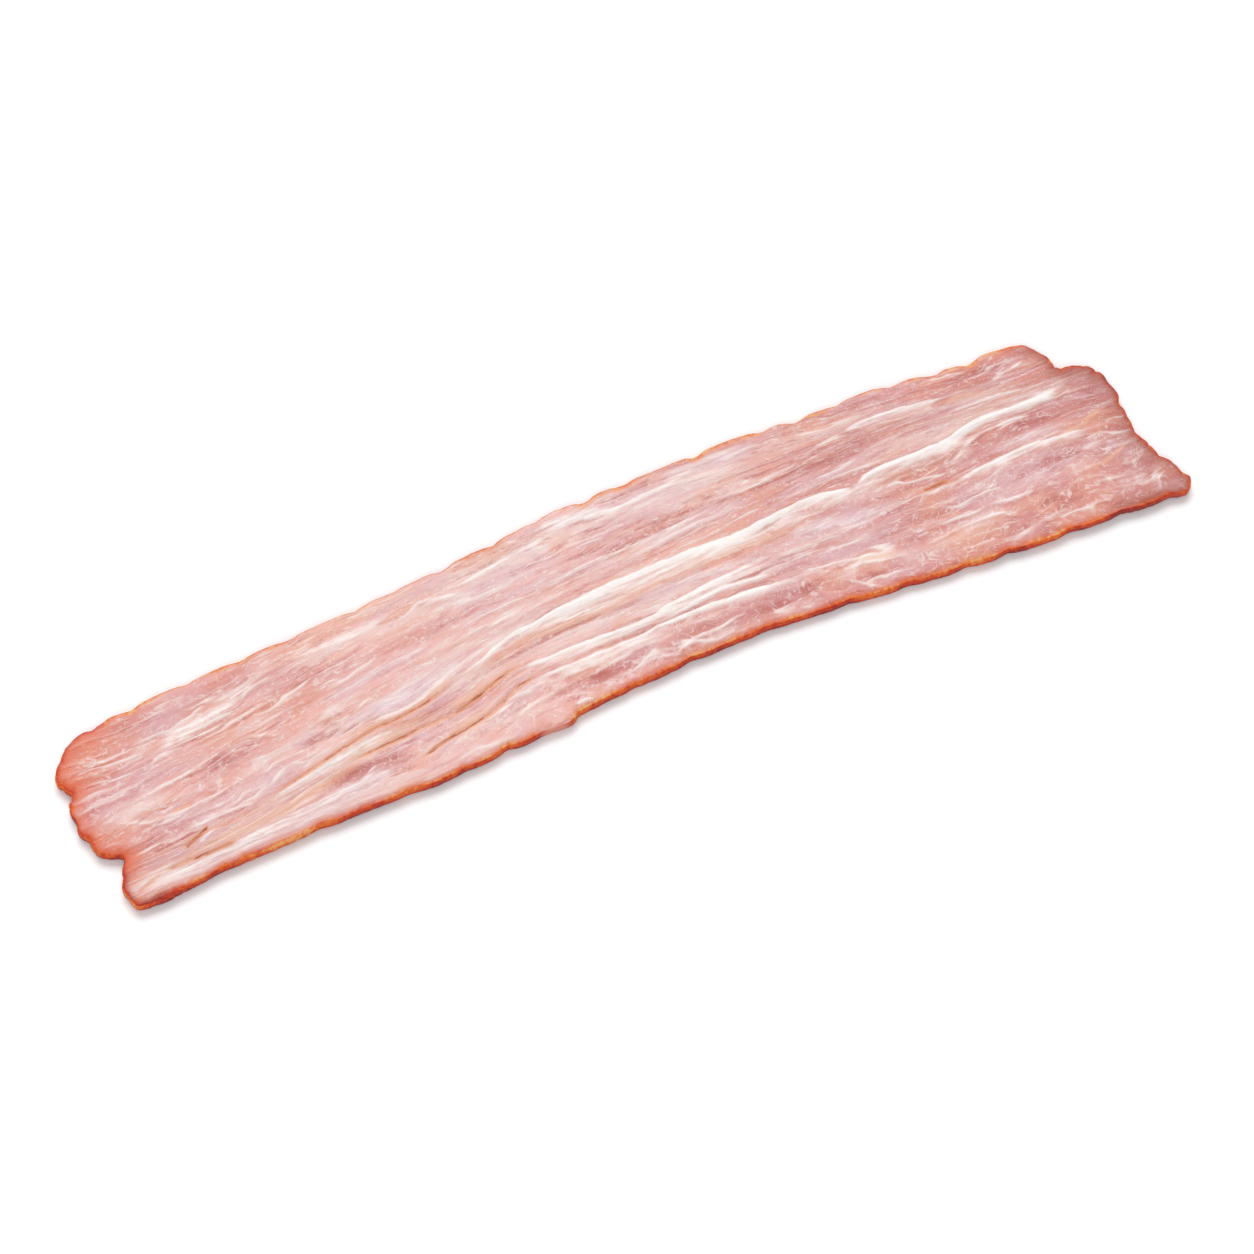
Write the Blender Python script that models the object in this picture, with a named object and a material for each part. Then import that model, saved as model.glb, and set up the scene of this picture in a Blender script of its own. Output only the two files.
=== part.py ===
"""A turkey bacon rasher: one thin cured slice that lies flat, cut along the grain.

The slice bows a little to one side. Its rim is nicked all round, where folds of the casing
pinched the meat while it was pressed and smoked. Bands of fat run along it and stand a little
proud of the lean. Units are metres: +X runs along the grain, +Z is up, and the slice rests on
z = 0. The shape is laid out in millimetres, by the functions below, and placed in metres.
"""

import math

import bmesh
import bpy
from mathutils import Vector

MM = 0.001

# Driving sizes
LENGTH = 204.5 * MM  # over the furthest points of the two ends
WIDTH = 44.3 * MM  # over the whole bowed slice; it is about 38 mm across at any one place
THICKNESS_MM = 2.2  # of the lean, away from the rim and the bands of fat

# The smooth run of each side in mm, corner to corner: the edges left to right, the ends front to back
BACK_EDGE = (
    (-99.4, 12.8), (-97.0, 14.2), (-93.0, 15.0), (-82.0, 16.1), (-61.0, 16.9), (-44.0, 17.6),
    (-30.0, 18.6), (-14.0, 20.1), (-4.0, 21.2), (16.0, 21.4), (30.0, 21.6), (46.0, 20.5),
    (57.0, 20.5), (66.0, 19.6), (74.0, 18.7), (84.0, 18.6), (88.2, 17.4),
)  # fmt: skip
FRONT_EDGE = (
    (-98.8, -20.2), (-94.0, -20.7), (-80.0, -19.7), (-56.0, -19.5), (-43.0, -19.9), (-28.0, -19.1),
    (-19.0, -18.9), (-15.0, -17.6), (13.0, -16.4), (30.0, -17.3), (50.0, -19.3), (70.0, -21.0),
    (88.0, -21.9), (99.5, -22.7),
)  # fmt: skip
LEFT_END = (
    (-98.8, -20.2), (-100.2, -17.0), (-99.4, -13.8), (-97.8, -10.5), (-100.9, -8.6),
    (-102.8, -4.0), (-102.9, 1.5), (-101.9, 4.3), (-103.0, 7.0), (-102.1, 9.6), (-99.4, 12.8),
)  # fmt: skip
RIGHT_END = (
    (99.5, -22.7), (101.6, -20.8), (100.9, -17.4), (98.9, -12.5), (97.7, -7.0), (98.3, -1.5),
    (98.6, 4.0), (97.0, 8.0), (93.4, 9.9), (91.2, 10.2), (91.0, 12.2), (90.2, 14.4), (88.2, 17.4),
)  # fmt: skip

# Where folds of the casing pinched each side, and how deep in mm: by X on the edges, by Y on the ends
BACK_NICKS = {
    -93.7: 0.6, -86.5: 0.6, -76: 0.5, -66: 0.5, -57: 0.6, -44: 0.5, -37: 0.3, -27: 0.8, -17: 0.6,
    -8: 0.4, 1.5: 1.1, 9: 0.6, 23.5: 0.9, 36.5: 0.6, 43: 1.0, 51: 0.5, 62: 0.7, 70: 0.9, 77: 1.1, 84: 0.3,
}  # fmt: skip
FRONT_NICKS = {
    -84: 0.3, -66: 0.4, -49: 0.4, -39: 0.4, -31: 0.6, -24: 0.4, -6: 0.3, 5: 0.4, 20: 0.3,
    35: 0.4, 46: 0.4, 57: 0.5, 65: 0.5, 77: 0.6, 87: 0.4, 96: 0.4,
}  # fmt: skip
LEFT_NICKS = {-17.3: 0.4, -14.6: 0.3, -5.5: 0.8, -1.6: 0.4, 4.1: 0.7}
RIGHT_NICKS = {-18.4: 0.8, -13.6: 0.7, -8.0: 0.4, -1.5: 0.8, 3.2: 0.6}
EDGE_NICK_REACH = 3.6
END_NICK_REACH = 1.9

# The bands of fat: each one's run in mm, its half-width, and how far it stands proud
FAT_BANDS = {
    "main": (((-36, -4.2), (-20, 0.2), (0, 1.9), (24, 2.4), (48, 3.6), (72, 5.6), (90, 6.2)), 1.5, 0.34),
    "second": (((-52, -8.4), (-36, -6.8), (-20, -5.0), (4, -4.4), (30, -4.6), (48, -6.0)), 1.2, 0.24),
    "third": (((-48, -11.8), (-32, -10.0), (-20, -8.6), (6, -8.0), (26, -8.8), (44, -11.0)), 1.2, 0.26),
    "left": (((-92, -14.8), (-74, -13.6), (-58, -10.6), (-46, -8.6)), 1.2, 0.24),
    "back": (((46, 12.8), (58, 14.4), (70, 12.4), (84, 9.2)), 1.3, 0.22),
    "right": (((58, -5.0), (76, -2.8), (90, -4.6)), 1.3, 0.2),
}
BAND_FADE = 9.0  # mm over which each end of a band rises out of the lean

# Shallow waves of the lean between the bands: height in mm, turns per mm along X and Y, and phase
LEAN_WAVES = ((0.09, 0.018, 0.14, 0.0), (0.07, -0.008, 0.09, 1.3))

# The rim: how much thinner it is than the middle and over what width, and how far its foot lifts
RIM_DROP = 0.30
RIM_REACH = 2.4
WALL_BULGE = 0.16
FOOT_LEAST, FOOT_MOST = 0.12, 0.50
FOOT_SHARE_AT_TOP = 0.4  # of the foot's lift that shows in the top above it
TURN_UNDER = 0.25  # mm from the outermost ring to the wall's foot
UNDERSIDE_INSET = 2.6  # mm from the outermost ring to where the underside meets the surface

COLUMNS, ROWS = 126, 28
RELAXING_ROUNDS = 12  # of evening out the net, so that it keeps clear of the deep nicks

LEAN_PINK = (0.72, 0.38, 0.33, 1.0)


def smooth_step(value):
    value = max(0.0, min(1.0, value))
    return value * value * (3 - 2 * value)


def catmull_rom(points, share):
    """The place at this share of the smooth curve through points, which share it out evenly."""
    last = len(points) - 1
    span = min(int(share * last), last - 1)
    f = share * last - span
    before, start, end, after = (Vector(points[max(0, min(last, span + k))]) for k in (-1, 0, 1, 2))
    bend = 2 * before - 5 * start + 4 * end - after
    twist = 3 * start - before - 3 * end + after
    return start + 0.5 * f * ((end - before) + f * (bend + f * twist))


def nick_depth(place, nicks, reach):
    """How far the nicks pull the rim in here: each is a sharp fold with round shoulders."""
    return sum(depth * max(0.0, 1 - abs(place - nick) / reach) ** 2 for nick, depth in nicks.items())


def evenly_spaced(curve, count, samples=1500):
    """count + 1 points at equal distances along a curve, which is a function of its share."""
    fine = [curve(k / samples) for k in range(samples + 1)]
    run = [0.0]
    for start, end in zip(fine, fine[1:]):
        run.append(run[-1] + (end - start).length)
    found, k = [], 0
    for step in range(count + 1):
        wanted = run[-1] * step / count
        while k < samples - 1 and run[k + 1] < wanted:
            k += 1
        found.append(fine[k].lerp(fine[k + 1], (wanted - run[k]) / (run[k + 1] - run[k])))
    return found


def nicked_side(points, nicks, reach, inward, count):
    """One side's evenly spaced points. inward points from the side into the slice."""

    def curve(share):
        place = catmull_rom(points, share)
        along = place.x if inward.x == 0 else place.y
        return place + inward * nick_depth(along, nicks, reach)

    return evenly_spaced(curve, count)


def lay_out_sides():
    return {
        "front": nicked_side(FRONT_EDGE, FRONT_NICKS, EDGE_NICK_REACH, Vector((0, 1)), COLUMNS),
        "back": nicked_side(BACK_EDGE, BACK_NICKS, EDGE_NICK_REACH, Vector((0, -1)), COLUMNS),
        "left": nicked_side(LEFT_END, LEFT_NICKS, END_NICK_REACH, Vector((1, 0)), ROWS),
        "right": nicked_side(RIGHT_END, RIGHT_NICKS, END_NICK_REACH, Vector((-1, 0)), ROWS),
    }


def inside(sides, column, row):
    """The place of one point of the slice's net, blended from the four sides (a Coons patch)."""
    u, v = column / COLUMNS, row / ROWS
    front, back, left, right = sides["front"], sides["back"], sides["left"], sides["right"]
    across = (1 - v) * front[column] + v * back[column]
    along = (1 - u) * left[row] + u * right[row]
    corners = (1 - v) * ((1 - u) * front[0] + u * front[-1]) + v * ((1 - u) * back[0] + u * back[-1])
    return across + along - corners


def band_centre(run, x):
    """A band's Y at this X."""
    for (x_start, y_start), (x_end, y_end) in zip(run, run[1:]):
        if x <= x_end:
            return y_start + (y_end - y_start) * smooth_step((x - x_start) / (x_end - x_start))
    return run[-1][1]


def fat_relief(place):
    """How far the bands of fat lift the top here, in mm."""
    lift = 0.0
    for run, half_width, height in FAT_BANDS.values():
        rise = smooth_step((place.x - run[0][0]) / BAND_FADE)
        fall = smooth_step((run[-1][0] - place.x) / BAND_FADE)
        offset = (place.y - band_centre(run, place.x)) / half_width
        lift += height * rise * fall * math.exp(-offset * offset)
    return lift


def lean_relief(place):
    return sum(
        height * math.sin(2 * math.pi * (along * place.x + across * place.y) + phase)
        for height, along, across, phase in LEAN_WAVES
    )


def foot_height(place):
    """How far the foot of the wall stands off the surface here, in mm."""
    wave = 0.5 + 0.25 * math.sin(0.09 * place.x + 0.4) + 0.25 * math.sin(0.031 * place.x - 0.13 * place.y + 2)
    return FOOT_LEAST + (FOOT_MOST - FOOT_LEAST) * wave


def top_height(place, outline):
    """The top's height in mm. Near the rim it thins, and lifts a little with the foot of the wall."""
    to_rim = min((place - other).length for other in outline)
    near = smooth_step(1 - to_rim / RIM_REACH)
    relief = fat_relief(place) + lean_relief(place)
    return THICKNESS_MM + relief + near * (FOOT_SHARE_AT_TOP * foot_height(place) - RIM_DROP)


def rim_loop(net):
    """The net's outermost vertices, once round, anticlockwise."""
    front = [(column, 0) for column in range(COLUMNS)]
    right = [(COLUMNS, row) for row in range(ROWS)]
    back = [(column, ROWS) for column in range(COLUMNS, 0, -1)]
    left = [(0, row) for row in range(ROWS, 0, -1)]
    return [net[key] for key in front + right + back + left]


def inward_directions(outline):
    """For each point of a loop that runs anticlockwise, the direction square to it and inwards."""
    count = len(outline)
    spread = 3  # points to each side, so that a nick doesn't turn the direction
    directions = []
    for k in range(count):
        chord = outline[(k + spread) % count] - outline[k - spread]
        directions.append(Vector((-chord.y, chord.x)).normalized())
    return directions


def lay_out_top(bm, sides):
    """The top as a net of faces. It returns the vertices of its rim, once round."""
    made = bmesh.ops.create_grid(bm, x_segments=COLUMNS, y_segments=ROWS, size=1)
    net = {}
    for vert in made["verts"]:
        column = round((vert.co.x + 1) / 2 * COLUMNS)
        row = round((vert.co.y + 1) / 2 * ROWS)
        vert.co.xy = inside(sides, column, row)
        net[column, row] = vert
    inner = [vert for vert in made["verts"] if not vert.is_boundary]
    for _ in range(RELAXING_ROUNDS):
        bmesh.ops.smooth_vert(bm, verts=inner, factor=0.5, use_axis_x=True, use_axis_y=True)
    rim = rim_loop(net)
    outline = [vert.co.xy.copy() for vert in rim]
    for vert in made["verts"]:
        vert.co.z = top_height(vert.co.xy, outline)
    return rim


def edges_round(bm, loop):
    return [bm.edges.get((vert, after)) for vert, after in zip(loop, loop[1:] + loop[:1])]


def extruded(bm, loop):
    """A new loop of vertices, each joined to the vertex of the loop that it was extruded from."""
    made = bmesh.ops.extrude_edge_only(bm, edges=edges_round(bm, loop))["geom"]
    new = {item for item in made if isinstance(item, bmesh.types.BMVert)}
    below = []
    for vert in loop:
        below += [edge.other_vert(vert) for edge in vert.link_edges if edge.other_vert(vert) in new]
    return below


def hang_wall(bm, rim):
    """Extrudes the rim down in three rings, turned under, and closes the underside with a flat face."""
    outline = [vert.co.xy.copy() for vert in rim]
    tops = [vert.co.z for vert in rim]
    feet = [foot_height(place) for place in outline]
    inward = inward_directions(outline)
    for vert, direction in zip(rim, inward):
        vert.co.xy += WALL_BULGE * direction
    rings = (
        (0.0, [(top + foot) / 2 for top, foot in zip(tops, feet)]),
        (TURN_UNDER, feet),
        (UNDERSIDE_INSET, [0.0] * len(feet)),
    )
    loop = rim
    for inset, heights in rings:
        loop = extruded(bm, loop)
        for vert, place, direction, height in zip(loop, outline, inward, heights):
            vert.co.xy = place + inset * direction
            vert.co.z = height
    bmesh.ops.contextual_create(bm, geom=edges_round(bm, loop))


def set_to_size(bm):
    """Scales the layout to the driving sizes in metres, and centres it over the origin."""
    low = Vector([min(vert.co[k] for vert in bm.verts) for k in range(3)])
    high = Vector([max(vert.co[k] for vert in bm.verts) for k in range(3)])
    middle = (low + high) / 2
    for vert in bm.verts:
        vert.co.x = (vert.co.x - middle.x) * LENGTH / (high.x - low.x)
        vert.co.y = (vert.co.y - middle.y) * WIDTH / (high.y - low.y)
        vert.co.z = (vert.co.z - low.z) * MM


def cured_turkey_material():
    material = bpy.data.materials.new("cured_turkey")
    material.use_nodes = True
    shader = material.node_tree.nodes["Principled BSDF"]
    shader.inputs["Base Color"].default_value = LEAN_PINK
    shader.inputs["Roughness"].default_value = 0.42
    shader.inputs["Metallic"].default_value = 0.0
    return material


def build_rasher(collection):
    bm = bmesh.new()
    rim = lay_out_top(bm, lay_out_sides())
    hang_wall(bm, rim)
    set_to_size(bm)
    bmesh.ops.recalc_face_normals(bm, faces=bm.faces)
    mesh = bpy.data.meshes.new("rasher")
    bm.to_mesh(mesh)
    bm.free()
    mesh.materials.append(cured_turkey_material())
    mesh.shade_smooth()
    mesh.set_sharp_from_angle(angle=math.radians(50))
    collection.objects.link(bpy.data.objects.new("rasher", mesh))


def main():
    for leftover in list(bpy.data.objects):
        bpy.data.objects.remove(leftover)
    collection = bpy.data.collections.new("turkey_bacon_rasher")
    bpy.context.scene.collection.children.link(collection)
    build_rasher(collection)


main()
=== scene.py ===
"""Looks of the turkey bacon rasher: a moist cured slice with bands of fat and a browned rim.

One closed mesh replaces the CAD slice. Its outline is the CAD slice's own, and its relief and
the masks that its material reads are worked out here in millimetres, from the marks below: the
bands, veins, creases and lean patches that run along the grain of this one slice.
"""

import bpy
import numpy as np
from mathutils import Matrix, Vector
from mathutils.kdtree import KDTree


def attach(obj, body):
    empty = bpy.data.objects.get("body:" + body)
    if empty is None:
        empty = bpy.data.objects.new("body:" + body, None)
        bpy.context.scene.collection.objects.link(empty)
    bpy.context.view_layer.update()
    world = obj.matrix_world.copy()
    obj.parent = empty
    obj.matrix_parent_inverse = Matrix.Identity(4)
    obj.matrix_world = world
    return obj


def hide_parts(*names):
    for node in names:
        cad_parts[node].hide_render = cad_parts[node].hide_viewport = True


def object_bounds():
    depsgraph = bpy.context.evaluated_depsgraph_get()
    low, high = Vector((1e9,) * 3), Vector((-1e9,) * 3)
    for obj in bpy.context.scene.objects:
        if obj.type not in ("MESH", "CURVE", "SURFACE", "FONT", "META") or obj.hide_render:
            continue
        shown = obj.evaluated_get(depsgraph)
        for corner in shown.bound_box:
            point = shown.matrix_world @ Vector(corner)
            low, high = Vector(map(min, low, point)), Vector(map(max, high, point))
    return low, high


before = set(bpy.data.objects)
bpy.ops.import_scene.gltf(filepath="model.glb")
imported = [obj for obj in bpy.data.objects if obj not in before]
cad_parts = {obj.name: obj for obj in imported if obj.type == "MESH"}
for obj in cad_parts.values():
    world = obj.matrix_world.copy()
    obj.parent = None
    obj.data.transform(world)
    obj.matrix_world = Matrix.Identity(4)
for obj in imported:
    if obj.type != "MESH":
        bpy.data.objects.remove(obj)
cad_low, cad_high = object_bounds()

MM = 0.001
NODE = "rasher"

# The net of the top, and which of its lines the coarser underside keeps
COLUMNS, ROWS = 380, 180
UNDER_COLUMNS = np.arange(5, COLUMNS - 4, 2)
UNDER_ROWS = np.arange(12, ROWS - 11, 3)
RELAXING_ROUNDS = 150
OUTLINE_STEP = 0.25  # mm

# Where the sides of the net meet, in mm from the middle of the slice's box
CORNERS = {
    "front_left": (-98.2, -19.6),
    "front_right": (100.1, -22.1),
    "back_right": (88.8, 18.0),
    "back_left": (-98.8, 13.4),
}

# Heights in mm
LEAN_HEIGHT = 2.08
FOOT_LEAST, FOOT_MOST = 0.10, 0.46
RIM_DROP, RIM_REACH = 0.26, 1.5
WALL_LUMPS = 0.09

# The wall from the rim of the top down to the foot: (mm in from the outline, share of the height)
WALL = (
    (0.34, 1.0), (0.2, 0.985), (0.09, 0.93), (0.02, 0.83), (0.0, 0.68),
    (0.0, 0.5), (0.0, 0.33), (0.03, 0.17), (0.1, 0.05), (0.26, 0.0),
)  # fmt: skip

# A pale flap in the front edge, which the crust leaves bare: its middle along x and its half-width, in mm
FLAP_MIDDLE, FLAP_REACH = -21.8, 3.2

# Where the parts of the slice lie in its map, as (lowest, height)
TOP_BAND, WALL_BAND, UNDER_BAND = (0.30, 0.695), (0.195, 0.095), (0.004, 0.18)

CAMERA_ELEVATION, CAMERA_TURN = 60, -25  # degrees
CAMERA_DISTANCE, CAMERA_TARGET = 0.607, (-0.0013, -0.0043, 0)
CAMERA_LENS, CAMERA_SENSOR = 100, 36  # mm

# The marks below are laid out in mm from a point this far from the middle of the slice's box
MARKS_ORIGIN = (0.6, 0.6)

# Fibre lines, from front to back, as (x, y). The grain runs along them and is blended between them, and
# across the grain each lies this many mm from the one before it.
FIBRE_SPACING = (0, 4.0, 4.5, 7.0, 7.5, 7.5, 4.5)
FIBRE_LINES = (
    ((-106, -20.6), (-60, -19.8), (-20, -19.0), (10, -17.4), (50, -20), (104, -24)),
    ((-106, -18.6), (-80, -17.2), (-50, -15.8), (-32, -12.2), (-20, -8.6), (8, -8.0), (30, -9.2),
        (60, -11), (104, -13)),
    ((-106, -16.6), (-80, -14.6), (-56, -10.4), (-35, -8.4), (-21, -5.4), (10, -4.6), (45, -5),
        (76, -2.8), (104, -4)),
    ((-106, -13), (-72, -10.2), (-52, -6.1), (-40, -5), (-22, 0.4), (0, 2.4), (36, 4), (60, 4.9),
        (78, 6.4), (104, 4)),
    ((-106, -4), (-80, -0.4), (-50, 3.6), (-26, 6.8), (0, 8.6), (30, 10.8), (60, 10.6), (84, 9.4),
        (104, 9)),
    ((-106, 9), (-76, 8.2), (-56, 12.4), (-32, 14.2), (0, 17), (30, 17.2), (56, 14.8), (80, 13.4),
        (104, 14)),
    ((-106, 14), (-60, 16.8), (-20, 19), (10, 20.6), (40, 20.6), (70, 18.8), (104, 19)),
)  # fmt: skip

# What each kind of mark does. It adds shares of fat, tan, cool (lavender), warm (salmon) or score (the
# brown line of a crease or slit, partly its own colour and partly painted shade in the groove), or lightens
# the lean by tone. lift is how far it stands proud in mm, skew how much sharper its back side is than its
# front side, fray how frayed it is, and taper the share of its length over which each end fades. A straight
# mark keeps to its points, and the others wander a little.
KINDS = {
    "white": dict(fat=1.0, lift=0.32, skew=0.5, fray=0.25, taper=0.16),
    # edge: a fat band's crisp back edge, partly fat and partly a painted highlight along the ridge
    "edge": dict(fat=0.9, lift=0.2, skew=0.5, fray=0.35, taper=0.16),
    "haze": dict(fat=0.68, lift=0.1, skew=0.1, fray=1.0, taper=0.36),
    "cream": dict(fat=0.6, tan=0.3, lift=0.2, skew=0.1, fray=0.45, taper=0.2),
    "line": dict(fat=0.68, lift=0.13, skew=0.35, fray=0.6, taper=0.3),
    "vein": dict(fat=0.62, tan=0.1, lift=0.1, fray=0.6, taper=0.3),
    "peach": dict(fat=0.12, tan=0.85, lift=0.06, fray=0.6, taper=0.3),
    # Lavender-white: milky fat, and also painted sheen on the wet surface
    "milky": dict(fat=0.48, cool=0.75, lift=0.10, fray=0.6, taper=0.25),
    "pale": dict(tone=0.9, lift=0.06, fray=0.8, taper=0.36),
    "dark": dict(tone=-1.0, lift=-0.08, fray=0.8, taper=0.36),
    "salmon": dict(warm=1.0, fray=0.8, taper=0.36),
    "crease": dict(score=1.1, lift=-0.12, skew=0.3, fray=1.0, taper=0.15, straight=True),
    "slit": dict(score=1.3, lift=-0.12, fray=0.1, taper=0.06, straight=True),
}
COVERING = ("fat", "tan", "cool", "warm", "score")
THINNEST_MARK = 0.4  # mm, as finer ones would fall between the net's points: the material makes them crisp

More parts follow.
